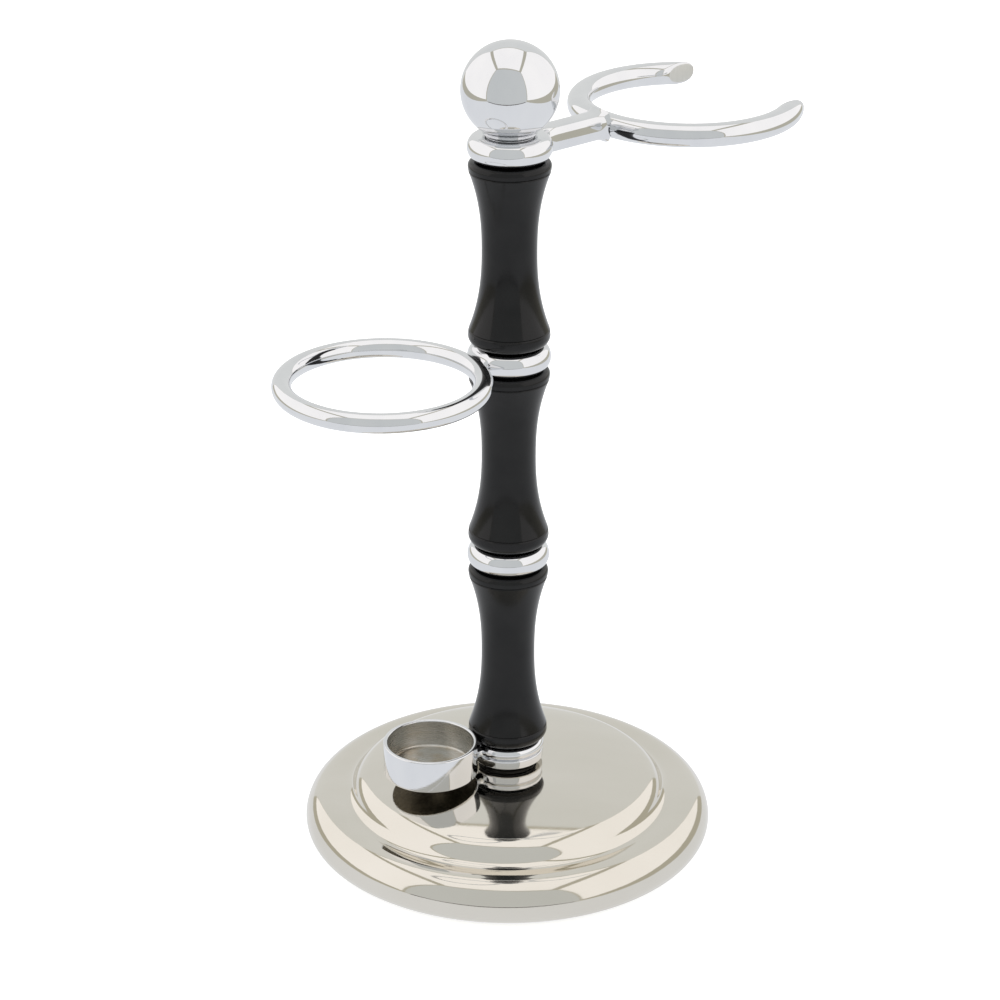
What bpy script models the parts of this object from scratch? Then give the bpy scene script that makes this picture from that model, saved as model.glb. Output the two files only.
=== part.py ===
"""Shaving stand: a domed weighted base, three waisted resin segments stacked on a tie rod,
and three chromed holders between them: a razor cup, a razor ring and an open brush fork.

Units are metres, +Z is up. The origin is on the column's axis, on the surface that the
stand rests on. Holders point along their azimuth, measured from +X towards +Y.
"""
import math

import bmesh
import bpy
from mathutils import Matrix, Vector

MM = 0.001
CLEAR = 0.3 * MM            # gap that touching pieces keep
MERGE = 0.000001
SHARP = math.radians(40)    # edges sharper than this stay crisp

# Base
BASE_R = 35.0 * MM          # widest point of the rim
DOME_TOP = 13.46 * MM       # height of the dome at the axis
DOME_EDGE_R = 23.9 * MM
DOME_EDGE_Z = 11.27 * MM
SHOULDER_BEND = 4.1 * MM    # radii of the three bends between the dome and the widest point
HOLLOW_BEND = 2.3 * MM
RIM_BEND = 4.6 * MM
SHOULDER_TILT = 25.0        # degrees above level that the surface faces at its steepest
VALLEY_TILT = 87.0          # and in the shallow valley inside the rim
RIM_FOOT_R = 32.6 * MM
RIM_FOOT_Z = 0.4 * MM       # the pad stands this much proud of the rim
SHEET = 1.0 * MM            # thickness of the drawn shell
PAD_T = 1.8 * MM
PAD_R = 30.6 * MM
BALLAST_R = 30.9 * MM
BALLAST_EDGE_Z = 4.9 * MM
BALLAST_LEDGE_R = 28.9 * MM
BALLAST_LEDGE_Z = 6.3 * MM
BALLAST_STEP_R = 25.2 * MM
BALLAST_STEP_Z = 8.4 * MM
BALLAST_TOP_R = 23.1 * MM
NUT_RECESS_R = 6.6 * MM
NUT_RECESS_TOP = 8.7 * MM

# Tie rod and its fasteners
ROD_R = 2.4 * MM
ROD_BORE_R = ROD_R + CLEAR
ROD_BOTTOM = 2.3 * MM
ROD_TOP = 132.0 * MM
NUT_FLATS = 8.0 * MM
NUT_T = 2.7 * MM
NUT_LIFT = 0.8 * MM         # from the ballast's underside to the nut
LOCK_WASHER_R = 4.4 * MM
LOCK_WASHER_T = 1.0 * MM
LOCK_WASHER_GAP = 0.6 * MM
LOCK_WASHER_SLANT = 25.0    # degrees that its gap leans
FLAT_WASHER_R = 5.4 * MM
FLAT_WASHER_T = 0.9 * MM

# Column: three segments, each with a collar between it and the next
COLUMN_FOOT_Z = 18.05 * MM
SEGMENT_LENGTHS = {"lower_segment": 32.2 * MM, "middle_segment": 31.15 * MM, "upper_segment": 31.15 * MM}
COLLAR_H = 3.85 * MM
BEAD_R = 6.75 * MM
FLARE_R = 6.6 * MM
WAIST_R = 4.52 * MM
WAIST_STEPS = 10
FLARE_POWER = 2.4           # how late the waist opens out towards the beads
GROOVE_R = 6.45 * MM        # fine groove beside each bead
GROOVE_OFF = 0.7 * MM       # from the bead's centre to the groove
FLARE_OFF = 1.0 * MM        # from the bead's centre to where the waist begins
BEAD_EDGE = 0.35 * MM       # rounding of the bead's outer corners
SEGMENT_FOOT_R = 5.4 * MM
SEGMENT_FOOT = 1.5 * MM     # from the lower bead's centre down to the segment's end
SEGMENT_HEAD = 1.0 * MM     # from the upper bead's centre up to the segment's end
GASKET_R = 5.1 * MM
GASKET_BOTTOM = DOME_TOP + CLEAR
GASKET_T = 0.35 * MM
CUP_COLLAR_R = 6.25 * MM
CUP_COLLAR_SPLIT = 0.42     # share of the collar's height below its groove
CUP_COLLAR_GROOVE = 0.45 * MM
CUP_BAND_IN = 0.15 * MM     # the plain band lies this much inside the bead
COLLAR_R = 6.9 * MM
COLLAR_FLAT_R = 5.4 * MM    # where a collar's flat face meets its oval edge
SEAT_REACH = 8.0 * MM       # how far a seat's cutter runs above and below its piece

# Razor cup
CUP_AZIMUTH = -151.8
CUP_REACH = 14.9 * MM
CUP_R = 8.04 * MM
CUP_WALL = 0.7 * MM
CUP_EDGE = 0.4 * MM         # chamfer under the cup
CUP_RIM_Z = 20.35 * MM
CUP_BOTTOM_Z = 14.6 * MM
CUP_FLOOR_Z = 15.4 * MM
DRAIN_R = 1.4 * MM
CUP_STUB_W = 3.6 * MM
CUP_STUB_H = 2.4 * MM
CUP_STUB_Z = 16.4 * MM

# Razor ring
RING_AZIMUTH = -146.5
RING_REACH = 24.2 * MM
RING_R = 16.15 * MM         # to the wire's centre
RING_WIRE_R = 1.62 * MM
RING_Z = 88.2 * MM
RING_STUB_W = 6.0 * MM
RING_STUB_H = 2.4 * MM

# Brush fork
FORK_AZIMUTH = 40.5
FORK_REACH = 38.3 * MM
FORK_R = 17.67 * MM         # to the bar's centre
FORK_BAR_W = 4.0 * MM       # radial width of the bent bar
FORK_BAR_H = 3.8 * MM
FORK_Z = 123.3 * MM
FORK_MOUTH = 27.4 * MM      # clear width between the two tips
MOUTH_AZIMUTH = 38.0
ARM_W = 4.4 * MM
ARM_H = 4.4 * MM
ARM_Z = 123.5 * MM
ARM_ROUND = 1.2 * MM

# Finial
BALL_R = 7.93 * MM
BALL_Z = 132.96 * MM
BALL_FOOT_R = 4.5 * MM      # short round foot under the ball
WASHER_R = 4.0 * MM
WASHER_T = 0.5 * MM
WASHER_SINK = 0.7 * MM     # depth of the recess that seats the finial's washer

# Colour, roughness and metallic value of each material
CHROME = ("chrome", (0.78, 0.78, 0.80), 0.06, 1.0)
NICKEL = ("polished_nickel", (0.74, 0.72, 0.67), 0.08, 1.0)
RESIN = ("black_resin", (0.018, 0.018, 0.019), 0.25, 0.0)
IRON = ("cast_iron", (0.10, 0.10, 0.10), 0.65, 0.6)
FOAM = ("black_foam", (0.03, 0.03, 0.03), 0.9, 0.0)
ZINC = ("zinc_steel", (0.55, 0.56, 0.57), 0.35, 1.0)
FIBRE = ("black_fibre", (0.02, 0.02, 0.02), 0.6, 0.0)


def clear_scene():
    for obj in list(bpy.data.objects):
        bpy.data.objects.remove(obj, do_unlink=True)


def collection(name):
    made = bpy.data.collections.new(name)
    bpy.context.scene.collection.children.link(made)
    return made


def material(spec):
    name, colour, roughness, metallic = spec
    made = bpy.data.materials.get(name)
    if made is None:
        made = bpy.data.materials.new(name)
        made.use_nodes = True
        shader = made.node_tree.nodes["Principled BSDF"]
        shader.inputs["Base Color"].default_value = (*colour, 1.0)
        shader.inputs["Roughness"].default_value = roughness
        shader.inputs["Metallic"].default_value = metallic
    return made


def add_object(name, mesh, spec, where):
    obj = bpy.data.objects.new(name, mesh)
    where.objects.link(obj)
    if spec is not None:
        mesh.materials.append(material(spec))
    return obj


def shade_round(mesh):
    mesh.shade_smooth()
    mesh.set_sharp_from_angle(angle=SHARP)


def arc(centre_r, centre_z, radius_r, radius_z, start, end, count):
    """Points of an elliptic arc in the radius-height plane, angles in degrees from +R."""
    points = []
    for step in range(count + 1):
        angle = math.radians(start + (end - start) * step / count)
        points.append((centre_r + radius_r * math.cos(angle), centre_z + radius_z * math.sin(angle)))
    return points


def turned(name, outline, spec, where, steps=32):
    """Turn a closed outline of (radius, height) points, outer side downwards, about Z."""
    mesh = bpy.data.meshes.new(name)
    verts = [(radius, 0.0, height) for radius, height in outline]
    on_axis = outline[0][0] < MERGE and outline[-1][0] < MERGE
    count = len(verts)
    edges = [(i, i + 1) for i in range(count - 1)]
    if not on_axis:
        edges.append((count - 1, 0))
    mesh.from_pydata(verts, edges, [])
    obj = add_object(name, mesh, spec, where)
    screw = obj.modifiers.new("turn", "SCREW")
    screw.axis = "Z"
    screw.steps = steps
    screw.render_steps = steps
    screw.use_merge_vertices = True
    screw.merge_threshold = MERGE
    screw.use_smooth_shade = True
    return obj


def cut(obj, cutter, operation="DIFFERENCE"):
    boolean = obj.modifiers.new(operation.lower(), "BOOLEAN")
    boolean.operation = operation
    boolean.solver = "EXACT"
    boolean.object = cutter
    cutter.hide_render = True
    cutter.display_type = "WIRE"


def heading(azimuth):
    return Matrix.Rotation(math.radians(azimuth), 4, "Z")


def place(obj, azimuth, reach, height):
    obj.matrix_world = heading(azimuth) @ Matrix.Translation(Vector((reach, 0.0, height)))


def swivel(name, height, pieces, where):
    """Empty on the column's axis that carries the pieces that turn about it together."""
    axis = bpy.data.objects.new(name, None)
    axis.empty_display_size = COLLAR_R
    axis.location = (0.0, 0.0, height)
    where.objects.link(axis)
    bpy.context.view_layer.update()
    for piece in pieces:
        stays_at = piece.matrix_world.copy()
        piece.parent = axis
        piece.matrix_parent_inverse = axis.matrix_world.inverted()
        piece.matrix_world = stays_at


def bar(name, size, spec, where, rounding=0.0):
    """A box of the given size, its long edges along X rounded, centred on its origin."""
    mesh = bpy.data.meshes.new(name)
    solid = bmesh.new()
    bmesh.ops.create_cube(solid, size=1.0)
    bmesh.ops.scale(solid, vec=Vector(size), verts=solid.verts)
    if rounding > 0.0:
        long_edges = [e for e in solid.edges if abs((e.verts[0].co - e.verts[1].co).x) > MERGE]
        bmesh.ops.bevel(solid, geom=long_edges, offset=rounding, segments=4, profile=0.5,
                        affect="EDGES", clamp_overlap=True)
    solid.to_mesh(mesh)
    solid.free()
    shade_round(mesh)
    return add_object(name, mesh, spec, where)


def cylinder(name, radius, bottom, top, spec, where, sides=24, turn=0.0):
    mesh = bpy.data.meshes.new(name)
    solid = bmesh.new()
    bmesh.ops.create_cone(solid, cap_ends=True, segments=sides, radius1=radius, radius2=radius,
                          depth=top - bottom)
    bmesh.ops.rotate(solid, cent=Vector(), matrix=Matrix.Rotation(turn, 3, "Z"), verts=solid.verts)
    bmesh.ops.translate(solid, vec=Vector((0.0, 0.0, (top + bottom) / 2)), verts=solid.verts)
    solid.to_mesh(mesh)
    solid.free()
    shade_round(mesh)
    return add_object(name, mesh, spec, where)


def dome_height(radius, drop=0.0):
    """Height of the base's shallow dome, or of a surface that lies drop below it."""
    fall = (DOME_TOP - DOME_EDGE_Z) * (radius / DOME_EDGE_R) ** 2
    return DOME_TOP - fall - drop


def bend(points, radius, start, end, count):
    """Carry an outline on round an arc; angles are the way its surface faces, in degrees above level.

    A negative radius hollows the surface instead of bulging it.
    """
    centre_r = points[-1][0] - radius * math.cos(math.radians(start))
    centre_z = points[-1][1] - radius * math.sin(math.radians(start))
    points += arc(centre_r, centre_z, radius, radius, start, end, count)[1:]


def base_profile(inset, dome_points, bend_points):
    """Outline of the base from the rod's bore outwards and down, moved inwards by inset."""
    step = (DOME_EDGE_R - ROD_BORE_R) / dome_points
    dome = [ROD_BORE_R + step * i for i in range(dome_points)]
    points = [(radius, dome_height(radius, inset)) for radius in dome]
    slope = 2 * (DOME_TOP - DOME_EDGE_Z) / DOME_EDGE_R
    edge_tilt = 90.0 - math.degrees(math.atan(slope))
    points += arc(DOME_EDGE_R, DOME_EDGE_Z, -inset, -inset, edge_tilt, edge_tilt, 1)[1:]
    bend(points, SHOULDER_BEND - inset, edge_tilt, SHOULDER_TILT, bend_points)
    bend(points, -HOLLOW_BEND - inset, SHOULDER_TILT, VALLEY_TILT, bend_points)
    valley = math.radians(VALLEY_TILT)
    rim_start = BASE_R - RIM_BEND + (RIM_BEND - inset) * math.cos(valley)
    run = rim_start - points[-1][0]
    points.append((rim_start, points[-1][1] - run / math.tan(valley)))
    bend(points, RIM_BEND - inset, VALLEY_TILT, 0.0, bend_points)
    rim_z = points[-1][1]
    points += arc(RIM_FOOT_R, rim_z, BASE_R - RIM_FOOT_R - inset, rim_z - RIM_FOOT_Z, 0, -90, 3)[1:]
    return points


def base_shell(where):
    """Drawn sheet: the same outline outside and one sheet thickness further in."""
    outer = base_profile(0.0, 4, 4)
    inner = base_profile(SHEET, 2, 3)
    inner[-1] = (RIM_FOOT_R - SHEET, RIM_FOOT_Z)
    return turned("base_shell", outer + inner[::-1], NICKEL, where, steps=48)


def base_ballast(where):
    """Cast disc that fills the shell, with a recess for the nut and its washers."""
    skin = SHEET + CLEAR
    outline = [(radius, dome_height(radius, skin)) for radius in (ROD_BORE_R, DOME_EDGE_R / 2)]
    outline += [(BALLAST_TOP_R, dome_height(BALLAST_TOP_R, skin + CLEAR)), (BALLAST_STEP_R, BALLAST_STEP_Z)]
    outline += [(BALLAST_STEP_R, BALLAST_LEDGE_Z), (BALLAST_LEDGE_R, BALLAST_LEDGE_Z)]
    outline += [(BALLAST_R, BALLAST_EDGE_Z), (BALLAST_R, PAD_T + CLEAR)]
    outline += [(NUT_RECESS_R, PAD_T + CLEAR), (NUT_RECESS_R, NUT_RECESS_TOP), (ROD_BORE_R, NUT_RECESS_TOP)]
    return turned("base_ballast", outline, IRON, where)


def base_pad(where):
    return cylinder("base_pad", PAD_R, 0.0, PAD_T, FOAM, where, sides=48)


def ring_plate(name, outer_r, bottom, thickness, spec, where, inner_r=ROD_BORE_R, steps=32):
    top = bottom + thickness
    return turned(name, [(inner_r, top), (outer_r, top), (outer_r, bottom), (inner_r, bottom)],
                  spec, where, steps=steps)


def tie_rod(where):
    return cylinder("tie_rod", ROD_R, ROD_BOTTOM, ROD_TOP, ZINC, where)


def rod_nut(where, cutters):
    bottom = PAD_T + CLEAR + NUT_LIFT
    corner_r = NUT_FLATS / math.sqrt(3.0)
    nut = cylinder("rod_nut", corner_r, bottom, bottom + NUT_T, ZINC, where, sides=6)
    bore = cylinder("rod_nut_bore", ROD_BORE_R, bottom - MM, bottom + NUT_T + MM, None, cutters)
    cut(nut, bore)
    return bottom + NUT_T


def lock_washer(where, cutters, bottom):
    """Split spring washer: a plain ring with a slanting gap."""
    ring = ring_plate("lock_washer", LOCK_WASHER_R, bottom, LOCK_WASHER_T, ZINC, where)
    past = 2 * LOCK_WASHER_R
    gap = bar("lock_washer_gap", (past, LOCK_WASHER_GAP, past), None, cutters)
    slant = Matrix.Rotation(math.radians(LOCK_WASHER_SLANT), 4, "X")
    gap.matrix_world = Matrix.Translation(Vector((past / 2 + MM, 0.0, bottom))) @ slant
    cut(ring, gap)
    return bottom + LOCK_WASHER_T


def segment_ends(name):
    """Heights of a segment's foot and head, stacked with a collar and two gaps between segments."""
    foot = COLUMN_FOOT_Z
    for segment_name, length in SEGMENT_LENGTHS.items():
        if segment_name == name:
            return foot, foot + length
        foot += length + COLLAR_H + 2 * CLEAR


def segment(name, where):
    """Waisted resin piece with a bead and a fine groove at each end."""
    foot, head = segment_ends(name)
    lower_bead = foot + SEGMENT_FOOT
    upper_bead = head - SEGMENT_HEAD
    middle = (lower_bead + upper_bead) / 2
    reach = (upper_bead - lower_bead) / 2 - FLARE_OFF
    outline = [(ROD_BORE_R, head), (BEAD_R - 2 * BEAD_EDGE, head), (BEAD_R, upper_bead)]
    outline += [(BEAD_R, upper_bead - BEAD_EDGE), (GROOVE_R, upper_bead - GROOVE_OFF)]
    for step in range(WAIST_STEPS + 1):
        along = reach * (1.0 - 2.0 * step / WAIST_STEPS)
        flare = (FLARE_R - WAIST_R) * abs(along / reach) ** FLARE_POWER
        outline.append((WAIST_R + flare, middle + along))
    outline += [(GROOVE_R, lower_bead + GROOVE_OFF), (BEAD_R, lower_bead + BEAD_EDGE)]
    outline += [(BEAD_R, lower_bead), (SEGMENT_FOOT_R, foot), (ROD_BORE_R, foot)]
    return turned(name, outline, RESIN, where)


def top_of(name):
    return segment_ends(name)[1] + CLEAR


def bottom_of(name):
    return segment_ends(name)[0] - CLEAR


def collar_outline(bottom, top):
    """Disc with a bore and a full, oval edge."""
    half = (top - bottom) / 2
    edge = arc(COLLAR_FLAT_R, bottom + half, COLLAR_R - COLLAR_FLAT_R, half, 90, -90, 10)
    return [(ROD_BORE_R, top)] + edge + [(ROD_BORE_R, bottom)]


def cup_collar(where):
    """Stepped collar at the foot of the column: a bead, a groove and a plain band."""
    bottom = GASKET_BOTTOM + GASKET_T + CLEAR
    top = bottom_of("lower_segment")
    split = bottom + CUP_COLLAR_SPLIT * (top - bottom)
    bead = (top - split) / 2
    band_r = CUP_COLLAR_R - CUP_BAND_IN
    outline = [(ROD_BORE_R, top)]
    outline += arc(CUP_COLLAR_R - bead, split + bead, bead, bead, 90, -60, 8)
    outline += [(CUP_COLLAR_R - CUP_COLLAR_GROOVE, split), (band_r, split - CUP_BAND_IN)]
    outline += [(band_r, bottom + CUP_BAND_IN), (band_r - CUP_BAND_IN, bottom), (ROD_BORE_R, bottom)]
    return turned("cup_collar", outline, CHROME, where)


def collar_seat(name, radius, height, cutters):
    """Tall cylinder that trims a piece to the side of its collar."""
    return cylinder(name, radius + CLEAR, height - SEAT_REACH, height + SEAT_REACH, None, cutters, sides=48)


def stub(name, start, end, width, height, cutters):
    return bar(name, (end - start, width, height), None, cutters), (start + end) / 2


def razor_cup(where, cutters):
    """Small open cup with a drain hole, and the stub that joins it to its collar."""
    inner_r = CUP_R - CUP_WALL
    outline = [(DRAIN_R, CUP_FLOOR_Z), (inner_r, CUP_FLOOR_Z), (inner_r, CUP_RIM_Z), (CUP_R, CUP_RIM_Z)]
    outline += [(CUP_R, CUP_BOTTOM_Z + CUP_EDGE), (CUP_R - CUP_EDGE, CUP_BOTTOM_Z), (DRAIN_R, CUP_BOTTOM_Z)]
    cup = turned("razor_cup", outline, CHROME, where, steps=40)
    place(cup, CUP_AZIMUTH, CUP_REACH, 0.0)
    outer_end = CUP_REACH - CUP_R + CUP_WALL / 2
    neck, middle = stub("razor_cup_stub", CUP_COLLAR_R - MM, outer_end, CUP_STUB_W, CUP_STUB_H, cutters)
    place(neck, CUP_AZIMUTH, middle, CUP_STUB_Z)
    cut(cup, neck, "UNION")
    cut(cup, collar_seat("razor_cup_seat", CUP_COLLAR_R, CUP_STUB_Z, cutters))
    return cup


def wire_ring(name, radius, half_w, half_h, spec, where, steps, sides):
    outline = arc(radius, 0.0, half_w, half_h, 90, -270, sides)[:-1]
    return turned(name, outline, spec, where, steps=steps)


def razor_ring(where, cutters):
    """Closed wire ring with a short stub, seated against the rounded edge of its collar."""
    ring = wire_ring("razor_ring", RING_R, RING_WIRE_R, RING_WIRE_R, CHROME, where, 48, 10)
    place(ring, RING_AZIMUTH, RING_REACH, RING_Z)
    neck, middle = stub("razor_ring_stub", COLLAR_R - MM, RING_REACH - RING_R, RING_STUB_W, RING_STUB_H,
                        cutters)
    place(neck, RING_AZIMUTH, middle, RING_Z)
    cut(ring, neck, "UNION")
    cut(ring, collar_seat("razor_ring_seat", COLLAR_R, RING_Z, cutters))
    return ring


def fork_collar(where):
    """Oval-edged collar whose top is sunk to seat the finial's washer."""
    bottom = top_of("upper_segment")
    top = bottom + COLLAR_H
    floor = top - WASHER_SINK
    seat = [(ROD_BORE_R, floor), (WASHER_R + CLEAR, floor), (WASHER_R + CLEAR, top)]
    return turned("fork_collar", seat + collar_outline(bottom, top)[1:], CHROME, where)


def fork_arm(where, cutters):
    """Bar with rounded long edges, seated on the collar and on the bent fork."""
    inner_end = COLLAR_R - MM
    outer_end = FORK_REACH - FORK_R
    arm = bar("fork_arm", (outer_end - inner_end, ARM_W, ARM_H), CHROME, where, rounding=ARM_ROUND)
    place(arm, FORK_AZIMUTH, (inner_end + outer_end) / 2, ARM_Z)
    cut(arm, collar_seat("fork_arm_seat", COLLAR_R, ARM_Z, cutters))
    bend = wire_ring("fork_arm_bend", FORK_R, FORK_BAR_W / 2 + CLEAR, FORK_BAR_H / 2 + CLEAR,
                     None, cutters, 60, 16)
    place(bend, FORK_AZIMUTH, FORK_REACH, FORK_Z)
    cut(arm, bend)
    core = cylinder("fork_arm_core", FORK_R, -SEAT_REACH, SEAT_REACH, None, cutters, sides=48)
    place(core, FORK_AZIMUTH, FORK_REACH, FORK_Z)
    cut(arm, core)
    return arm


def brush_fork(where, cutters):
    """Oval bar bent to a ring, with a straight-sided mouth that opens away from the column."""
    fork = wire_ring("brush_fork", FORK_R, FORK_BAR_W / 2, FORK_BAR_H / 2, CHROME, where, 60, 12)
    place(fork, FORK_AZIMUTH, FORK_REACH, FORK_Z)
    past = 2 * FORK_R
    mouth = bar("brush_fork_mouth", (past, FORK_MOUTH, past), None, cutters)
    place(mouth, FORK_AZIMUTH, FORK_REACH, FORK_Z)
    mouth.matrix_world @= heading(MOUTH_AZIMUTH - FORK_AZIMUTH) @ Matrix.Translation(Vector((past / 2, 0, 0)))
    cut(fork, mouth)
    return fork


def washer_bottom():
    return top_of("upper_segment") + COLLAR_H - WASHER_SINK + CLEAR


def ball_finial(where):
    """Ball with a short foot and a blind bore that the tie rod screws into."""
    foot_angle = math.degrees(math.asin(BALL_FOOT_R / BALL_R)) - 90
    outline = arc(0.0, BALL_Z, BALL_R, BALL_R, 90, foot_angle, 15)
    outline[0] = (0.0, BALL_Z + BALL_R)
    seat_z = washer_bottom() + WASHER_T + CLEAR
    bore_top = ROD_TOP + 3 * CLEAR
    outline += [(BALL_FOOT_R, seat_z), (ROD_BORE_R, seat_z), (ROD_BORE_R, bore_top), (0.0, bore_top + MM)]
    return turned("ball_finial", outline, CHROME, where)


def base(where, cutters):
    """Shell, ballast and pad, and the nut and washers that pull the rod down into them."""
    base_shell(where)
    base_ballast(where)
    base_pad(where)
    tie_rod(where)
    nut_top = rod_nut(where, cutters)
    lock_top = lock_washer(where, cutters, nut_top + CLEAR)
    ring_plate("flat_washer", FLAT_WASHER_R, lock_top + CLEAR, FLAT_WASHER_T, ZINC, where)
    ring_plate("base_gasket", GASKET_R, GASKET_BOTTOM, GASKET_T, FIBRE, where)


def column(where):
    for name in SEGMENT_LENGTHS:
        segment(name, where)
    plain = collar_outline(top_of("lower_segment"), bottom_of("middle_segment"))
    turned("plain_collar", plain, CHROME, where)


def cup_holder(where, cutters):
    pieces = [cup_collar(where), razor_cup(where, cutters)]
    swivel("cup_swivel", CUP_STUB_Z, pieces, where)


def ring_holder(where, cutters):
    outline = collar_outline(top_of("middle_segment"), bottom_of("upper_segment"))
    pieces = [turned("ring_collar", outline, CHROME, where), razor_ring(where, cutters)]
    swivel("ring_swivel", RING_Z, pieces, where)


def fork_holder(where, cutters):
    pieces = [fork_collar(where), fork_arm(where, cutters), brush_fork(where, cutters)]
    swivel("fork_swivel", FORK_Z, pieces, where)


def finial(where):
    """Ball on its washer, which turn together on the rod's thread."""
    washer = ring_plate("finial_washer", WASHER_R, washer_bottom(), WASHER_T, ZINC, where)
    swivel("finial_turn", washer_bottom(), [washer, ball_finial(where)], where)


def build():
    clear_scene()
    stand = collection("shaving_stand")
    cutters = collection("cutters")
    base(stand, cutters)
    column(stand)
    cup_holder(stand, cutters)
    ring_holder(stand, cutters)
    fork_holder(stand, cutters)
    finial(stand)


build()
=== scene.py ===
"""Looks of the shaving stand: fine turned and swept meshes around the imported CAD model."""
import math

import bmesh
import bpy
from mathutils import Euler, Matrix, Vector

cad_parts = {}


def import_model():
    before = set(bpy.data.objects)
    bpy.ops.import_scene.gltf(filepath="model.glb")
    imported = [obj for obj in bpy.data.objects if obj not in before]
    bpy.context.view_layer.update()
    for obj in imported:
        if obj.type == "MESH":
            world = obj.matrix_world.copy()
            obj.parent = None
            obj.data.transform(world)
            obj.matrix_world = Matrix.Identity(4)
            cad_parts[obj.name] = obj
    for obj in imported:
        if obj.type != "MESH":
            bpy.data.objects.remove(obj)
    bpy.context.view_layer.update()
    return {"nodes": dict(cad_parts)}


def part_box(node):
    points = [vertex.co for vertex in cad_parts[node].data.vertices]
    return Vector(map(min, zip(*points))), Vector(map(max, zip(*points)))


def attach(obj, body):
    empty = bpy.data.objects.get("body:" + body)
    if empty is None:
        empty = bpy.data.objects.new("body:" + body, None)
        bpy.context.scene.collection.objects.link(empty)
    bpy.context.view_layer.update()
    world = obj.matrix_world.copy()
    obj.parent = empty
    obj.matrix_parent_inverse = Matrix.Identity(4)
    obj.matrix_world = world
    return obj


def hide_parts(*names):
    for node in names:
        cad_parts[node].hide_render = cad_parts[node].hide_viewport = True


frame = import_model()

MM = 0.001
COLLAR_BODY = {"cup_collar": "cup_holder", "ring_collar": "ring_holder", "fork_collar": "fork_holder",
               "plain_collar": "stand"}
HOLDER_AZIMUTH = {"cup": -151.8, "ring": -146.5, "fork": 40.5}     # degrees from +X

# Sizes that a node's box doesn't give
ROD_HOLE_R = 2.7 * MM
SHEET = 1.0 * MM
DOME_EDGE_R = 23.9 * MM
DOME_FALL = 2.3 * MM            # how much the dome drops from its middle to its edge
DOME_POWER = 3.0                # how suddenly it does so; 2 is a parabola
SHOULDER_BEND = 4.1 * MM        # the base's three bends between the dome and the widest point
HOLLOW_BEND = 2.3 * MM
RIM_BEND = 4.6 * MM
SHOULDER_TILT = 25.0            # degrees above level that the surface faces at its steepest
VALLEY_TILT = 95.0              # past 90 the valley is a slight gutter
RIM_FOOT_R = 32.6 * MM          # where the shell's edge turns in under the rim
WAIST_R = 4.52 * MM
FLARE_R = 6.6 * MM
FLARE_POWER = 2.4               # how late a segment widens towards its ends
GROOVE_STEP = 0.16 * MM
BEAD_ROUND = 0.9 * MM
BEAD_BAND = 1.55 * MM           # from a segment's end to the groove beside its bead
SEGMENT_FOOT = 1.5 * MM         # height of the rounding under a segment
SEGMENT_FOOT_R = 5.4 * MM
COLLAR_FLAT_R = 5.4 * MM
SEAT_GAP = 0.02 * MM            # between pieces that rest on each other
CUP_REACH = 14.9 * MM
CUP_R = 8.04 * MM
CUP_WALL = 0.7 * MM
CUP_FLOOR = 0.8 * MM
CUP_NECK_UP = 1.8 * MM          # from the cup's underside to its neck's middle
DRAIN_R = 1.4 * MM
WIRE_R = 1.62 * MM
RING_R = 16.15 * MM
RING_REACH = 24.2 * MM
FORK_R = 17.67 * MM
FORK_REACH = 38.3 * MM
FORK_W = 4.0 * MM
FORK_H = 3.8 * MM
FORK_MOUTH = 27.4 * MM
MOUTH_TURN = -2.5               # the fork's mouth points this many degrees off its arm
TIP_ROUND = 0.45 * MM
THREAD_PITCH = 0.8 * MM
THREAD_DEPTH = 0.45 * MM
LOWER_THREAD = 8.0 * MM
UPPER_THREAD = 16.0 * MM
BALL_FOOT_R = 4.5 * MM
BALL_FOOT_TIP_R = 3.7 * MM
BALL_BORE = 7.5 * MM

# The camera: half a metre in front, above the top of the stand
LENS = 113.7
CAMERA_PLACE = (0.0, -0.48101, 0.27694)
CAMERA_PITCH = 24.065           # degrees down, to the left and about its own axis
CAMERA_PAN = 0.17
CAMERA_ROLL = 0.15

# The light tent: its four corners on the floor, standing askew, and its panels
TENT_LEFT_FRONT = (-0.43, -0.307)
TENT_RIGHT_FRONT = (0.352, -0.445)
TENT_LEFT_BACK = (-0.46, 0.667)
TENT_RIGHT_BACK = (0.36, 0.53)
TENT_TOP = 0.88
PANEL_FOOT_FRONT = 0.04         # the side panels' lower edges rise towards the back
PANEL_FOOT_BACK = 0.13
PANEL_HEAD = TENT_TOP - 0.045
FRONT_FOOT = 0.011


# ---------------------------------------------------------------- helpers

def arc(centre_r, centre_z, radius_r, radius_z, start, end, count):
    """Points of an elliptic arc in the radius-height plane, angles in degrees from +R."""
    points = []
    for step in range(count + 1):
        angle = math.radians(start + (end - start) * step / count)
        points.append((centre_r + radius_r * math.cos(angle), centre_z + radius_z * math.sin(angle)))
    return points


def add_mesh(name, solid, look, body, nodes=()):
    """Finish a bmesh as a smooth piece that rides on a body and stands for CAD nodes."""
    bmesh.ops.remove_doubles(solid, verts=solid.verts, dist=0.0000005)
    bmesh.ops.recalc_face_normals(solid, faces=solid.faces)
    mesh = bpy.data.meshes.new(name)
    solid.to_mesh(mesh)
    solid.free()
    mesh.shade_smooth()
    mesh.set_sharp_from_angle(angle=math.radians(38))
    mesh.materials.append(look)
    obj = bpy.data.objects.new(name, mesh)
    bpy.context.scene.collection.objects.link(obj)
    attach(obj, body)
    if nodes:
        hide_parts(*nodes)
    return obj


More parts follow.
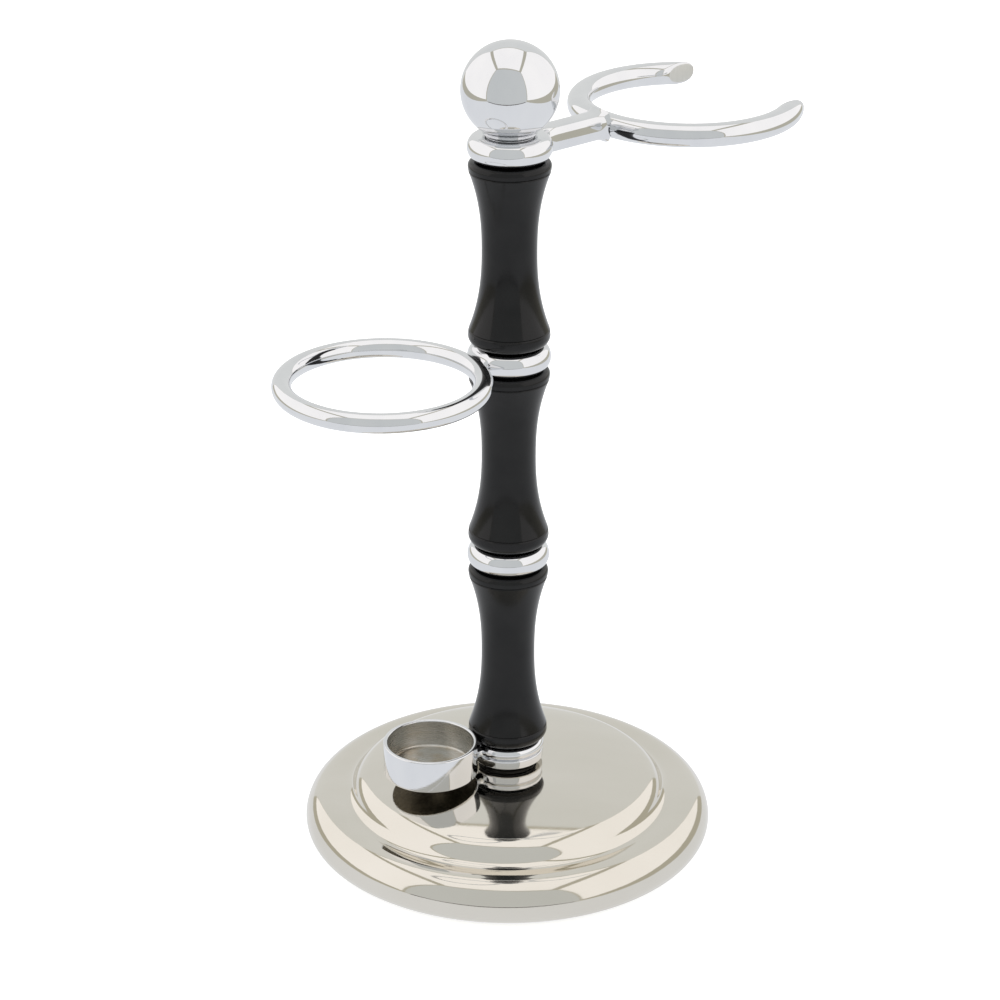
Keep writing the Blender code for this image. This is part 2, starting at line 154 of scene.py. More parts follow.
def lathe(outline, steps=160, closed=True, centre=(0.0, 0.0)):
    """Faces swept by turning an outline of (radius, height) points about a vertical axis."""
    solid = bmesh.new()
    rows = []
    for radius, height in outline:
        if radius < 0.0000005:
            rows.append([solid.verts.new((centre[0], centre[1], height))])
            continue
        row = []
        for step in range(steps):
            angle = 2 * math.pi * step / steps
            row.append(solid.verts.new((centre[0] + radius * math.cos(angle),
                                        centre[1] + radius * math.sin(angle), height)))
        rows.append(row)
    pairs = list(zip(rows, rows[1:]))
    if closed:
        pairs.append((rows[-1], rows[0]))
    for one, two in pairs:
        join_rows(solid, one, two)
    return solid


def join_rows(solid, one, two):
    """Bridge two closed rows of vertices; a row of one vertex is a point on the axis."""
    if len(one) == 1 and len(two) == 1:
        return
    count = max(len(one), len(two))
    for i in range(count):
        j = (i + 1) % count
        if len(one) == 1:
            solid.faces.new((one[0], two[i], two[j]))
        elif len(two) == 1:
            solid.faces.new((one[i], one[j], two[0]))
        else:
            solid.faces.new((one[i], one[j], two[j], two[i]))


def loft(sections):
    """Closed body through equal rows of points, with a fan over each end."""
    solid = bmesh.new()
    rows = [[solid.verts.new(point) for point in section] for section in sections]
    for one, two in zip(rows, rows[1:]):
        join_rows(solid, one, two)
    for row in (rows[0], rows[-1]):
        middle = sum((vert.co for vert in row), Vector()) / len(row)
        join_rows(solid, row, [solid.verts.new(middle)])
    return solid


def superellipse(half_w, half_h, power, count):
    """Rounded rectangle in (across, up); power 2 is an ellipse, more is squarer."""
    points = []
    for step in range(count):
        angle = 2 * math.pi * step / count
        c, s = math.cos(angle), math.sin(angle)
        points.append((math.copysign(half_w * abs(c) ** (2 / power), c),
                       math.copysign(half_h * abs(s) ** (2 / power), s)))
    return points


def heading(azimuth):
    return Matrix.Rotation(math.radians(azimuth), 4, "Z")


def span(node):
    low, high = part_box(node)
    return low.z, high.z


def outer_radius(node):
    """Radius of a node that is turned about the column's axis."""
    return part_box(node)[1].y


# ---------------------------------------------------------------- materials

class Look:
    """A Principled material under construction, with short calls for the nodes it needs."""

    def __init__(self, name, colour, roughness, metallic=0.0):
        self.material = bpy.data.materials.new(name)
        self.material.use_nodes = True
        self.tree = self.material.node_tree
        self.shader = self.tree.nodes["Principled BSDF"]
        self.shader.inputs["Base Color"].default_value = (*colour, 1.0)
        self.shader.inputs["Roughness"].default_value = roughness
        self.shader.inputs["Metallic"].default_value = metallic
        self.place = self.tree.nodes.new("ShaderNodeTexCoord").outputs["Object"]

    def link(self, source, target):
        self.tree.links.new(source, target)

    def set(self, socket, value):
        self.shader.inputs[socket].default_value = value

    def noise(self, scale, detail=3.0, stretch=None, where=None):
        node = self.tree.nodes.new("ShaderNodeTexNoise")
        node.inputs["Scale"].default_value = scale
        node.inputs["Detail"].default_value = detail
        source = where or self.place
        if stretch:
            mapping = self.tree.nodes.new("ShaderNodeMapping")
            mapping.inputs["Scale"].default_value = stretch
            self.link(source, mapping.inputs["Vector"])
            source = mapping.outputs["Vector"]
        self.link(source, node.inputs["Vector"])
        return node.outputs["Fac"]

    def math(self, operation, first, second=0.0):
        node = self.tree.nodes.new("ShaderNodeMath")
        node.operation = operation
        for slot, value in enumerate((first, second)):
            if isinstance(value, (int, float)):
                node.inputs[slot].default_value = value
            else:
                self.link(value, node.inputs[slot])
        return node.outputs["Value"]

    def ramp(self, source, low, high, start=0.3, end=0.7):
        """Map a factor onto low..high between start and end."""
        node = self.tree.nodes.new("ShaderNodeMapRange")
        for socket, value in (("From Min", start), ("From Max", end), ("To Min", low), ("To Max", high)):
            node.inputs[socket].default_value = value
        self.link(source, node.inputs["Value"])
        return node.outputs["Result"]

    def tint(self, factor, first, second):
        node = self.tree.nodes.new("ShaderNodeMix")
        node.data_type = "RGBA"
        self.link(factor, node.inputs["Factor"])
        node.inputs["A"].default_value = (*first, 1.0)
        node.inputs["B"].default_value = (*second, 1.0)
        return node.outputs["Result"]

    def colour(self, source):
        self.link(source, self.shader.inputs["Base Color"])

    def roughness(self, source):
        self.link(source, self.shader.inputs["Roughness"])

    def bump(self, source, distance, strength=1.0):
        node = self.tree.nodes.new("ShaderNodeBump")
        node.inputs["Distance"].default_value = distance
        node.inputs["Strength"].default_value = strength
        self.link(source, node.inputs["Height"])
        self.link(node.outputs["Normal"], self.shader.inputs["Normal"])

    def axis_radius(self, centre=(0.0, 0.0)):
        """Distance from a vertical axis and height, for marks that a lathe leaves."""
        split = self.tree.nodes.new("ShaderNodeSeparateXYZ")
        self.link(self.place, split.inputs["Vector"])
        across = self.math("SUBTRACT", split.outputs["X"], centre[0])
        along = self.math("SUBTRACT", split.outputs["Y"], centre[1])
        across_squared = self.math("MULTIPLY", across, across)
        along_squared = self.math("MULTIPLY", along, along)
        distance = self.math("SQRT", self.math("ADD", across_squared, along_squared))
        return distance, split.outputs["Z"]

    def lathe_lines(self, scale, centre=(0.0, 0.0)):
        """Fine lines that run round a turned piece, varying with radius and height only."""
        radius, height = self.axis_radius(centre)
        join = self.tree.nodes.new("ShaderNodeCombineXYZ")
        self.link(radius, join.inputs["X"])
        self.link(height, join.inputs["Z"])
        return self.noise(scale, detail=6.0, where=join.outputs["Vector"])


def chrome(name, lines_at=None):
    """Bright plate: almost a mirror, faint smears and a slow waviness from polishing."""
    look = Look(name, (0.775, 0.78, 0.79), 0.03, 1.0)
    smear = look.noise(260.0, detail=5.0, stretch=(1.0, 1.0, 0.5))
    look.colour(look.tint(look.ramp(smear, 0.0, 1.0), (0.79, 0.795, 0.805), (0.75, 0.757, 0.775)))
    look.roughness(look.ramp(smear, 0.015, 0.055))
    wave = look.noise(110.0, detail=1.0)
    if lines_at is not None:
        lines = look.lathe_lines(9000.0, lines_at)
        wave = look.math("ADD", wave, look.math("MULTIPLY", lines, 0.12))
    look.bump(wave, 0.00008, 0.3)
    return look.material


def nickel(name):
    """Polished base: warmer than the chrome, with turning lines and soft wiping streaks."""
    look = Look(name, (0.72, 0.69, 0.63), 0.06, 1.0)
    smear = look.noise(70.0, detail=6.0, stretch=(0.35, 1.0, 1.0))
    look.colour(look.tint(look.ramp(smear, 0.0, 1.0), (0.745, 0.712, 0.65), (0.70, 0.668, 0.60)))
    lines = look.lathe_lines(5000.0)
    look.roughness(look.math("ADD", look.ramp(smear, 0.03, 0.075), look.math("MULTIPLY", lines, 0.02)))
    wave = look.math("ADD", look.noise(45.0, detail=2.0), look.math("MULTIPLY", lines, 0.08))
    look.bump(wave, 0.0001, 0.2)
    return look.material


def resin(name):
    """Near-black turned resin with a deep gloss."""
    look = Look(name, (0.003, 0.003, 0.0032), 0.15)
    cloud = look.noise(300.0, detail=5.0)
    look.colour(look.tint(look.ramp(cloud, 0.0, 1.0), (0.002, 0.002, 0.0022), (0.005, 0.005, 0.0052)))
    look.roughness(look.ramp(cloud, 0.11, 0.17))
    lines = look.lathe_lines(4000.0)
    look.bump(lines, 0.00002, 0.12)
    look.set("IOR", 1.37)
    return look.material


def satin(name, centre, floor_z):
    """Inside of the cup: brushed round, with brownish staining towards the floor's corner."""
    look = Look(name, (0.59, 0.585, 0.56), 0.28, 1.0)
    height = look.axis_radius(centre)[1]
    near_floor = look.ramp(height, 1.0, 0.0, floor_z, floor_z + 1.2 * MM)
    patchy = look.math("MULTIPLY", near_floor, look.noise(350.0, detail=4.0))
    stain = look.ramp(patchy, 0.0, 1.0, 0.25, 0.7)
    look.colour(look.tint(stain, (0.61, 0.605, 0.58), (0.50, 0.42, 0.31)))
    lines = look.lathe_lines(7000.0, centre)
    look.roughness(look.ramp(lines, 0.18, 0.35))
    look.bump(lines, 0.00005, 0.45)
    return look.material


def sawn(name):
    """Flat end of a bar, eased with a file: dull metal with a fine even grain."""
    look = Look(name, (0.69, 0.69, 0.67), 0.45, 1.0)
    grain = look.noise(1800.0, detail=4.0, stretch=(1.0, 1.0, 0.25))
    look.colour(look.tint(look.ramp(grain, 0.0, 1.0), (0.70, 0.70, 0.68), (0.66, 0.66, 0.64)))
    look.roughness(look.ramp(grain, 0.38, 0.50))
    look.bump(grain, 0.00001, 0.1)
    return look.material


def zinc(name):
    """Zinc-plated steel with a fine spangle."""
    look = Look(name, (0.50, 0.51, 0.53), 0.32, 1.0)
    spangle = look.noise(900.0, detail=6.0)
    look.colour(look.tint(look.ramp(spangle, 0.0, 1.0), (0.58, 0.59, 0.61), (0.42, 0.43, 0.44)))
    look.roughness(look.ramp(spangle, 0.24, 0.42))
    look.bump(spangle, 0.00003, 0.3)
    return look.material


def matt(name, dark, light, roughness, grain, depth, metallic=0.0):
    """Granular matt surface: foam, fibre or raw casting."""
    look = Look(name, dark, roughness, metallic)
    grains = look.noise(grain, detail=8.0)
    look.colour(look.tint(look.ramp(grains, 0.0, 1.0), dark, light))
    look.roughness(look.ramp(grains, roughness - 0.08, min(roughness + 0.05, 1.0)))
    look.bump(grains, depth, 0.6)
    return look.material


# ---------------------------------------------------------------- base

def bend(points, radius, start, end, count):
    """Carry an outline on round an arc; angles say which way it faces, radius < 0 hollows it."""
    centre_r = points[-1][0] - radius * math.cos(math.radians(start))
    centre_z = points[-1][1] - radius * math.sin(math.radians(start))
    points += arc(centre_r, centre_z, radius, radius, start, end, count)[1:]


def base_outline(top, edge_r, inset):
    """Outline from the rod's hole outwards and down: dome, shoulder, hollow, valley, rim."""
    count = 14
    dome = [ROD_HOLE_R + (DOME_EDGE_R - ROD_HOLE_R) * i / count for i in range(count)]
    points = [(r, top - DOME_FALL * (r / DOME_EDGE_R) ** DOME_POWER - inset) for r in dome]
    edge_tilt = 90.0 - math.degrees(math.atan(DOME_POWER * DOME_FALL / DOME_EDGE_R))
    points += arc(DOME_EDGE_R, top - DOME_FALL, -inset, -inset, edge_tilt, edge_tilt, 1)[1:]
    bend(points, SHOULDER_BEND - inset, edge_tilt, SHOULDER_TILT, 16)
    bend(points, -HOLLOW_BEND - inset, SHOULDER_TILT, VALLEY_TILT, 14)
    valley = math.radians(VALLEY_TILT)
    rim_start = edge_r - RIM_BEND + (RIM_BEND - inset) * math.cos(valley)
    run = rim_start - points[-1][0]
    points.append((rim_start, points[-1][1] - run / math.tan(valley)))
    bend(points, RIM_BEND - inset, VALLEY_TILT, 0.0, 24)
    return points


def base_shell(look):
    low, high = span("base_shell")
    edge_r = outer_radius("base_shell")
    outer = base_outline(high, edge_r, 0.0)
    rim_z = outer[-1][1]
    outer += arc(RIM_FOOT_R, rim_z, edge_r - RIM_FOOT_R, rim_z - low, 0, -90, 14)[1:]
    inner = base_outline(high, edge_r, SHEET)
    inner.append((RIM_FOOT_R - SHEET, low))
    add_mesh("base_shell_fine", lathe(outer + inner[::-1], 256), look, "stand",
             ["base_shell"])


def base_pad(look):
    low, high = span("base_pad")
    radius = outer_radius("base_pad")
    edge = 0.35 * MM
    flat = radius - edge
    outline = [(0.0, high), (flat, high)] + arc(flat, high - edge, edge, edge, 75, 0, 4)
    outline += arc(flat, low + edge, edge, edge, 0, -90, 5) + [(0.0, low)]
    add_mesh("base_pad_fine", lathe(outline, 192, closed=False), look, "stand",
             ["base_pad"])


def gasket(look):
    """Fibre ring pressed between the dome and the cup's collar; its near-black colour is partly painted
    shade for the shadowed gap under the collar.
    """
    low = span("base_shell")[1] + SEAT_GAP
    high = cup_collar_bottom() - SEAT_GAP
    radius = outer_radius("base_gasket")
    half = (high - low) / 2
    outline = [(ROD_HOLE_R, high)] + arc(radius - half, low + half, half, half, 90, -90, 8)
    outline += [(ROD_HOLE_R, low)]
    add_mesh("base_gasket_fine", lathe(outline, 128), look, "stand", ["base_gasket"])


# ---------------------------------------------------------------- column

def threaded_rod(look):
    """Rod with a rolled thread at each end and a plain shank between."""
    low, high = span("tie_rod")
    radius = outer_radius("tie_rod")
    per_turn = 6
    sides = 36
    threads = ((low, low + LOWER_THREAD), (high - UPPER_THREAD, high))
    levels = []
    for start, end in threads:
        count = round((end - start) / THREAD_PITCH * per_turn)
        levels += [start + (end - start) * i / count for i in range(count + 1)]
    sections = []
    for height in levels:
        section = []
        for side in range(sides):
            angle = 2 * math.pi * side / sides
            turn = height / THREAD_PITCH - angle / (2 * math.pi)
            crest = abs(2 * (turn % 1.0) - 1.0)
            end_distance = min(height - low, high - height)
            taper = max(0.0, 1.0 - end_distance / (0.8 * MM)) * 0.4 * MM
            r = radius - THREAD_DEPTH * crest - taper
            section.append((r * math.cos(angle), r * math.sin(angle), height))
        sections.append(section)
    add_mesh("tie_rod_threaded", loft(sections), look, "stand", ["tie_rod"])


def segment(node, look):
    """Waisted segment with a rounded rim and a fine groove at each end."""
    low, high = span(node)
    bead_r = outer_radius(node)
    lower = low + SEGMENT_FOOT
    bottom = lower + BEAD_BAND / 2
    top = high - BEAD_BAND
    groove_r = FLARE_R - 0.10 * MM
    rim_r = bead_r - 0.07 * MM
    edge = 0.05 * MM
    rim = bead_r - BEAD_ROUND
    outline = [(ROD_HOLE_R, high)] + arc(rim, high - BEAD_ROUND, BEAD_ROUND, BEAD_ROUND, 88, 0, 10)
    outline += [(rim_r, top + edge), (rim_r - edge, top), (groove_r, top - GROOVE_STEP)]
    middle = (top + bottom) / 2
    reach = (top - bottom) / 2 - 2 * GROOVE_STEP
    count = 48
    for step in range(count + 1):
        along = reach * (1.0 - 2.0 * step / count)
        flare = (FLARE_R - WAIST_R) * abs(along / reach) ** FLARE_POWER
        outline.append((WAIST_R + flare, middle + along))
    outline += [(groove_r, bottom + GROOVE_STEP), (rim_r - edge, bottom), (rim_r, bottom - edge)]
    outline += arc(SEGMENT_FOOT_R, lower, bead_r - SEGMENT_FOOT_R, SEGMENT_FOOT, 0, -85, 14)
    outline += [(ROD_HOLE_R, low)]
    add_mesh(node + "_fine", lathe(outline, 160), look, "stand", [node])


def collar_outline(node):
    """Flat faces and an oval edge, from the top of the bore to its bottom."""
    low, high = span(node)
    half = (high - low) / 2
    edge = outer_radius(node) - COLLAR_FLAT_R
    oval = arc(COLLAR_FLAT_R, low + half, edge, half, 90, -90, 32)
    return [(ROD_HOLE_R, high)] + oval + [(ROD_HOLE_R, low)]


def collar(node, look):
    add_mesh(node + "_fine", lathe(collar_outline(node), 160), look, COLLAR_BODY[node], [node])


def cup_collar_bottom():
    """The collar's plain band comes down to just above the gasket."""
    return span("cup_collar")[0] - 0.22 * MM


def cup_collar(look):
    """Stepped collar: a fat bead over a groove and a plain band."""
    high = span("cup_collar")[1]
    low = cup_collar_bottom()
    radius = outer_radius("cup_collar")
    split = low + 0.42 * (high - low)
    bead = (high - split) / 2
    band_r = radius - 0.15 * MM
    edge = 0.22 * MM
    outline = [(ROD_HOLE_R, high)] + arc(radius - bead, split + bead, bead, bead, 90, -68, 18)
    outline += [(radius - 0.5 * MM, split)]
    outline += arc(band_r - edge, split - edge, edge, edge, 90, 0, 5)
    outline += arc(band_r - edge, low + edge, edge, edge, 0, -90, 5)
    outline += [(ROD_HOLE_R, low)]
    add_mesh("cup_collar_fine", lathe(outline, 160), look, "cup_holder", ["cup_collar"])


def fork_collar(look):
    """Oval-edged collar with a shallow round recess that seats the finial's washer."""
    high = span("fork_collar")[1]
    recess_r = outer_radius("finial_washer") + 0.2 * MM
    floor = span("finial_washer")[0] - SEAT_GAP
    lip = 0.1 * MM
    outline = [(ROD_HOLE_R, floor), (recess_r, floor)]
    outline += arc(recess_r + lip, high - lip, lip, lip, 180, 90, 5)
    outline += collar_outline("fork_collar")[1:]
    add_mesh("fork_collar_fine", lathe(outline, 160), look, "fork_holder", ["fork_collar"])


# ---------------------------------------------------------------- holders

def neck(name, azimuth, start, end, height, sizes, flares, power, look, body, nodes=()):
    """Bar from one radius to another along an azimuth, swelling or thinning towards its ends."""
    half_w, half_h = sizes[0] / 2, sizes[1] / 2
    sections = []
    count = 28
    run = 1.1 * MM
    turn = heading(azimuth)
    for step in range(count + 1):
        x = start + (end - start) * step / count
        swell = 0.0
        for edge, flare in ((start, flares[0]), (end, flares[1])):
            near = max(0.0, 1.0 - abs(x - edge) / run / 1.6)
            swell += flare * near ** 2
        ring = superellipse(half_w + swell, half_h + swell, power, 32)
        sections.append([turn @ Vector((x, across, height + up)) for across, up in ring])
    return add_mesh(name, loft(sections), look, body, nodes)


def razor_ring(look):
    """Round wire bent to a ring and brazed to its collar by a short fat neck."""
    low, high = span("razor_ring")
    height = (low + high) / 2
    turn = heading(HOLDER_AZIMUTH["ring"])
    centre = turn @ Vector((RING_REACH, 0.0, 0.0))
    section = arc(RING_R, height, WIRE_R, WIRE_R, 0, -360, 40)[:-1]
    add_mesh("razor_ring_fine", lathe(section, 224, centre=(centre.x, centre.y)), look, "ring_holder",
             ["razor_ring"])
    neck("razor_ring_neck", HOLDER_AZIMUTH["ring"], 5.6 * MM, RING_REACH - RING_R + 0.4 * MM, height,
         (5.4 * MM, 2.2 * MM), (0.9 * MM, 0.5 * MM), 2.4, look, "ring_holder")


def razor_cup(outside, inside, underside):
    """Thin-walled cup: mirror outside, satin inside, dull underneath, with a chamfered drain hole."""
    low, high = span("razor_cup")
    azimuth = HOLDER_AZIMUTH["cup"]
    centre = heading(azimuth) @ Vector((CUP_REACH, 0.0, 0.0))
    inner_r = CUP_R - CUP_WALL
    floor = low + CUP_FLOOR
    lip = CUP_WALL / 2
    edge = 0.35 * MM
    outer = arc(inner_r + lip, high - lip * 0.7, lip, lip * 0.7, 180, 0, 14)
    outer += arc(CUP_R - edge, low + edge, edge, edge, 0, -90, 6)
    outer += [(DRAIN_R + 0.2 * MM, low), (DRAIN_R, low + 0.2 * MM)]
    bowl = [(DRAIN_R, low + 0.2 * MM), (DRAIN_R, floor - 0.15 * MM), (DRAIN_R + 0.15 * MM, floor)]
    bowl += [(r * MM, floor) for r in (3.0, 4.5, 6.0)]
    bowl += arc(inner_r - 0.5 * MM, floor + 0.5 * MM, 0.5 * MM, 0.5 * MM, -90, 0, 6)
    bowl += [(inner_r, high - lip * 0.7)]
    solid = lathe(outer + bowl[1:-1], 200, centre=(centre.x, centre.y))
    cup = add_mesh("razor_cup_fine", solid, outside, "cup_holder", ["razor_cup"])
    cup.data.materials.append(inside)
    cup.data.materials.append(underside)
    for face in cup.data.polygons:
        middle = face.center
        out = math.hypot(middle.x - centre.x, middle.y - centre.y)
        if out < inner_r + 0.01 * MM and middle.z > low + 0.3 * MM:
            face.material_index = 1
        elif middle.z < low + 0.02 * MM:
            face.material_index = 2
    neck("razor_cup_neck", azimuth, 4.9 * MM, CUP_REACH - CUP_R + 0.3 * MM, low + CUP_NECK_UP,
         (3.6 * MM, 2.2 * MM), (0.35 * MM, 0.35 * MM), 2.4, outside, "cup_holder")


def fork_bend():
    """Sections along the bent bar, from one flat tip round the back to the other, about its centre."""
    turns, tip_steps = 150, 6
    tip = []
    for step in range(tip_steps + 1):
        angle = math.pi / 2 * step / tip_steps
        plane = FORK_MOUTH / 2 + TIP_ROUND * (1 - math.sin(angle))
        shrink = TIP_ROUND * (1 - math.cos(angle))
        section = []
        for out, up in superellipse(FORK_W / 2 - shrink, FORK_H / 2 - shrink, 2.25, 40):
            radius = FORK_R + out
            section.append((radius, math.asin(plane / radius), up))
        tip.insert(0, section)
    turned = []
    for step in range(1, turns):
        share = step / turns
        turned.append([(r, a + 2 * (math.pi - a) * share, up) for r, a, up in tip[-1]])
    far = [[(r, -a, up) for r, a, up in section] for section in reversed(tip)]
    return [[Vector((r * math.cos(a), r * math.sin(a), up)) for r, a, up in section]
            for section in tip + turned + far]


def brush_fork(look, cut_look):
    """Oval bar bent nearly to a ring, its two tips sawn flat and eased at the edges."""
    low, high = span("brush_fork")
    centre = Vector((FORK_REACH, 0.0, (low + high) / 2))
    place = heading(HOLDER_AZIMUTH["fork"]) @ Matrix.Translation(centre) @ heading(MOUTH_TURN)
    sections = [[place @ point for point in section] for section in fork_bend()]
    fork = add_mesh("brush_fork_fine", loft(sections), look, "fork_holder", ["brush_fork"])
    fork.data.materials.append(cut_look)
    back = place.inverted()
    for face in fork.data.polygons:
        middle = back @ face.center
        if middle.x > 0.0 and abs(middle.y) < FORK_MOUTH / 2 + SEAT_GAP:
            face.material_index = 1


def fork_arm(look):
    """Bar with rounded edges, thinned where it enters the collar and swelling into the fork."""
    low, high = span("fork_arm")
    neck("fork_arm_fine", HOLDER_AZIMUTH["fork"], 6.1 * MM, FORK_REACH - FORK_R - FORK_W / 2 + 0.5 * MM,
         (low + high) / 2, (4.3 * MM, 4.3 * MM), (-0.5 * MM, 0.55 * MM), 4.0, look, "fork_holder",
         ["fork_arm"])


# ---------------------------------------------------------------- finial

def ball(look):
    """Ball on a short foot that curves in underneath, with a blind bore for the rod."""
    high = span("ball_finial")[1]
    low = span("finial_washer")[1] + SEAT_GAP
    radius = outer_radius("ball_finial")
    centre = high - radius
    fillet = 0.25 * MM
    seat = math.degrees(math.asin((BALL_FOOT_R + 0.5 * fillet) / radius)) - 90
    outline = arc(0.0, centre, radius, radius, 90, seat, 90)
    outline[0] = (0.0, high)
    brow = outline[-1][1] - fillet
    outline += arc(BALL_FOOT_TIP_R, brow, BALL_FOOT_R - BALL_FOOT_TIP_R, brow - low, 0, -90, 12)
    bore_top = low + BALL_BORE
    outline += [(ROD_HOLE_R + 0.3 * MM, low), (ROD_HOLE_R, low + 0.3 * MM), (ROD_HOLE_R, bore_top)]
    outline += [(0.0, bore_top + MM)]
    add_mesh("ball_finial_fine", lathe(outline, 192, closed=False), look, "finial",
             ["ball_finial"])


def washer(look):
    low, high = span("finial_washer")
    radius = outer_radius("finial_washer")
    half = (high - low) / 2
    outline = [(ROD_HOLE_R, high)] + arc(radius - half, low + half, half, half, 90, -90, 8)
    outline += [(ROD_HOLE_R, low)]
    add_mesh("finial_washer_fine", lathe(outline, 128), look, "finial_seat",
             ["finial_washer"])


# ---------------------------------------------------------------- studio

def emitter(name, colour, strength):
    made = bpy.data.materials.new(name)
    made.use_nodes = True
    tree = made.node_tree
    tree.nodes.clear()
    glow = tree.nodes.new("ShaderNodeEmission")
    glow.inputs["Color"].default_value = (*colour, 1.0)
    glow.inputs["Strength"].default_value = strength
    out = tree.nodes.new("ShaderNodeOutputMaterial")
    tree.links.new(glow.outputs["Emission"], out.inputs["Surface"])
    return made


def quad(name, corners, look):
    """Flat studio panel that lights and reflects but that the camera looks through."""
    mesh = bpy.data.meshes.new(name)
    mesh.from_pydata([Vector(c) for c in corners], [], [(0, 1, 2, 3)])
    mesh.materials.append(look)
    obj = bpy.data.objects.new(name, mesh)
    bpy.context.scene.collection.objects.link(obj)
    obj.visible_camera = False
    obj.visible_shadow = False
    return obj


def wall(name, start, end, feet, head, margin, inward, look):
    """Upright panel between two floor corners, shortened by margin and moved in towards the middle.

    Its lower edge runs between the two heights in feet.
    """
    start = Vector((*start, 0.0))
    end = Vector((*end, 0.0))
    along = (end - start).normalized()
    shift = Vector((-along.y, along.x, 0.0)) * inward
    start += along * margin + shift
    end += shift - along * margin
    up = Vector((0.0, 0.0, 1.0))
    quad(name, [start + up * feet[0], end + up * feet[1], end + up * head, start + up * head], look)


def tent():
    """Light tent: bright side and roof panels in thin dull frames, grey front and back."""
    white = emitter("tent_white", (1.0, 0.98, 0.97), 1.14)
    dull = emitter("tent_frame", (0.53, 0.51, 0.43), 1.0)
    dark = emitter("tent_foot", (0.05, 0.035, 0.025), 1.0)
    front = emitter("tent_front", (0.70, 0.72, 0.72), 0.95)
    back = emitter("tent_back", (0.79, 0.80, 0.79), 1.0)
    under = emitter("tent_floor", (0.77, 0.785, 0.81), 1.10)
    gap = 0.012
    nearer = 0.002
    ground = (0.0, 0.0)
    lifted = (FRONT_FOOT, FRONT_FOOT)
    sides = (("left", TENT_LEFT_BACK, TENT_LEFT_FRONT, (PANEL_FOOT_BACK, PANEL_FOOT_FRONT)),
             ("right", TENT_RIGHT_FRONT, TENT_RIGHT_BACK, (PANEL_FOOT_FRONT, PANEL_FOOT_BACK)))
    for side, start, end, feet in sides:
        wall(f"{side}_frame", start, end, ground, TENT_TOP, 0.0, 0.0, dull)
        wall(f"{side}_panel", start, end, feet, PANEL_HEAD, gap, nearer, white)
    wall("front_frame", TENT_LEFT_FRONT, TENT_RIGHT_FRONT, ground, TENT_TOP, 0.0, 0.0, dull)
    wall("front_cloth", TENT_LEFT_FRONT, TENT_RIGHT_FRONT, lifted, TENT_TOP - 0.02, gap, nearer, front)
    wall("front_foot", TENT_LEFT_FRONT, TENT_RIGHT_FRONT, ground, FRONT_FOOT, 0.05, nearer, dark)
    wall("back_cloth", TENT_RIGHT_BACK, TENT_LEFT_BACK, ground, TENT_TOP, 0.0, 0.0, back)
    plan = (TENT_LEFT_FRONT, TENT_RIGHT_FRONT, TENT_RIGHT_BACK, TENT_LEFT_BACK)
    corners = [Vector(corner) for corner in plan]
    quad("roof_frame", [(*corner, TENT_TOP) for corner in corners], dull)
    middle = sum(corners, Vector((0.0, 0.0))) / len(corners)
    inner = [middle + (corner - middle) * Vector((0.85, 0.93)) for corner in corners]
    quad("roof_panel", [(*corner, TENT_TOP - nearer) for corner in inner], white)
    glow = quad("floor_glow", [(*corner, -0.0002) for corner in corners], under)
    glow.visible_diffuse = False


def floor():
    """Plain pale floor: bright enough to read as white, and left out of the mirrors."""
    made = bpy.data.materials.new("studio_floor")
    made.use_nodes = True
    shader = made.node_tree.nodes["Principled BSDF"]
    shader.inputs["Base Color"].default_value = (0.9, 0.9, 0.9, 1.0)
    shader.inputs["Roughness"].default_value = 0.9
    shader.inputs["Emission Color"].default_value = (1.0, 1.0, 1.0, 1.0)
    shader.inputs["Emission Strength"].default_value = 0.55
    mesh = bpy.data.meshes.new("studio_floor")
    half = 3.0
    mesh.from_pydata([(-half, -half, -0.0004), (half, -half, -0.0004), (half, half, -0.0004),
                      (-half, half, -0.0004)], [], [(0, 1, 2, 3)])
    mesh.materials.append(made)
    obj = bpy.data.objects.new("studio_floor", mesh)
    bpy.context.scene.collection.objects.link(obj)
    obj.visible_glossy = False


def world():
    made = bpy.data.worlds.new("studio")
    made.use_nodes = True
    made.node_tree.nodes["Background"].inputs["Color"].default_value = (1.0, 1.0, 1.0, 1.0)
    made.node_tree.nodes["Background"].inputs["Strength"].default_value = 1.05
    bpy.context.scene.world = made


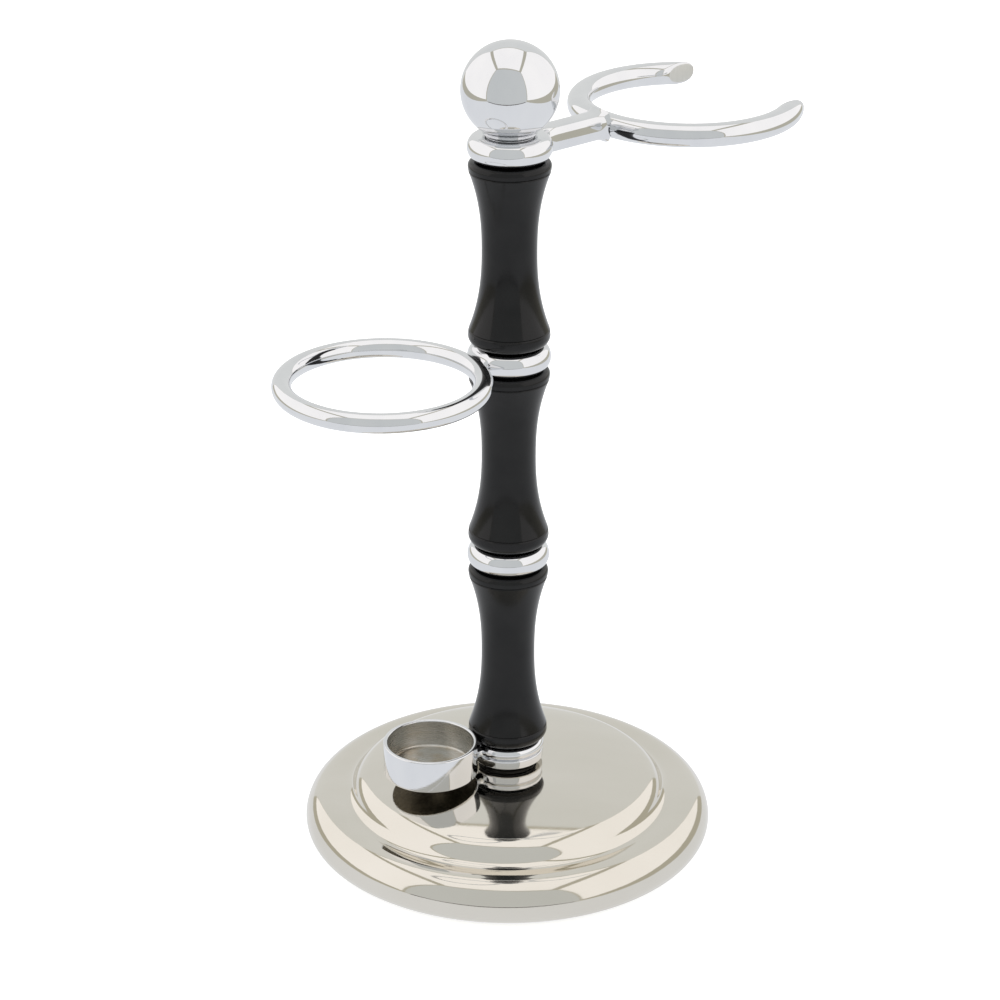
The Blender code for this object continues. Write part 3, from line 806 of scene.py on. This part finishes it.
def camera():
    """The picture's viewpoint: half a metre away, looking down about 24 degrees."""
    data = bpy.data.cameras.new("camera")
    data.lens = LENS
    data.sensor_width = 36.0
    data.clip_start = 0.01
    data.clip_end = 20.0
    obj = bpy.data.objects.new("camera", data)
    bpy.context.scene.collection.objects.link(obj)
    obj.location = CAMERA_PLACE
    aim = Euler((math.radians(90.0 - CAMERA_PITCH), 0.0, math.radians(CAMERA_PAN))).to_matrix()
    obj.rotation_euler = (aim @ Matrix.Rotation(math.radians(CAMERA_ROLL), 3, "Z")).to_euler()
    bpy.context.scene.camera = obj


def build():
    plate = chrome("chrome_plate")
    cup_axis = heading(HOLDER_AZIMUTH["cup"]) @ Vector((CUP_REACH, 0.0, 0.0))
    cup_plate = chrome("chrome_cup", (cup_axis.x, cup_axis.y))
    steel = zinc("zinc_plate")
    black = resin("turned_resin")
    foam = matt("closed_cell_foam", (0.012, 0.012, 0.012), (0.035, 0.035, 0.035), 0.92, 2600.0, 0.0002)
    # Near-black colour for the gasket: partly the gasket's own colour, partly painted shade standing in
    # for the shadowed gap under the cup's collar.
    gap_shade_fibre = matt("fibre_painted_gap_shade", (0.008, 0.008, 0.008), (0.02, 0.02, 0.02), 0.7, 3000.0, 0.00008)
    iron = matt("sand_casting", (0.05, 0.05, 0.05), (0.13, 0.13, 0.125), 0.68, 900.0, 0.0003,
                metallic=0.7)
    dull = matt("dull_underside", (0.10, 0.09, 0.07), (0.17, 0.155, 0.125), 0.45, 1500.0, 0.00003,
                metallic=1.0)

    base_shell(nickel("polished_base"))
    base_pad(foam)
    gasket(gap_shade_fibre)
    threaded_rod(steel)
    for node in ("lower_segment", "middle_segment", "upper_segment"):
        segment(node, black)
    for node in ("plain_collar", "ring_collar"):
        collar(node, plate)
    cup_collar(plate)
    fork_collar(plate)
    floor_z = span("razor_cup")[0] + CUP_FLOOR
    razor_cup(cup_plate, satin("satin_bowl", (cup_axis.x, cup_axis.y), floor_z), dull)
    razor_ring(plate)
    fork_arm(plate)
    brush_fork(plate, sawn("sawn_metal"))
    washer(steel)
    ball(plate)
    hidden = (("base_ballast", iron), ("rod_nut", steel), ("lock_washer", steel), ("flat_washer", steel))
    for node, look in hidden:
        frame["nodes"][node].data.materials.clear()
        frame["nodes"][node].data.materials.append(look)

    tent()
    floor()
    world()
    camera()
    bpy.context.scene.view_settings.view_transform = "Standard"


build()
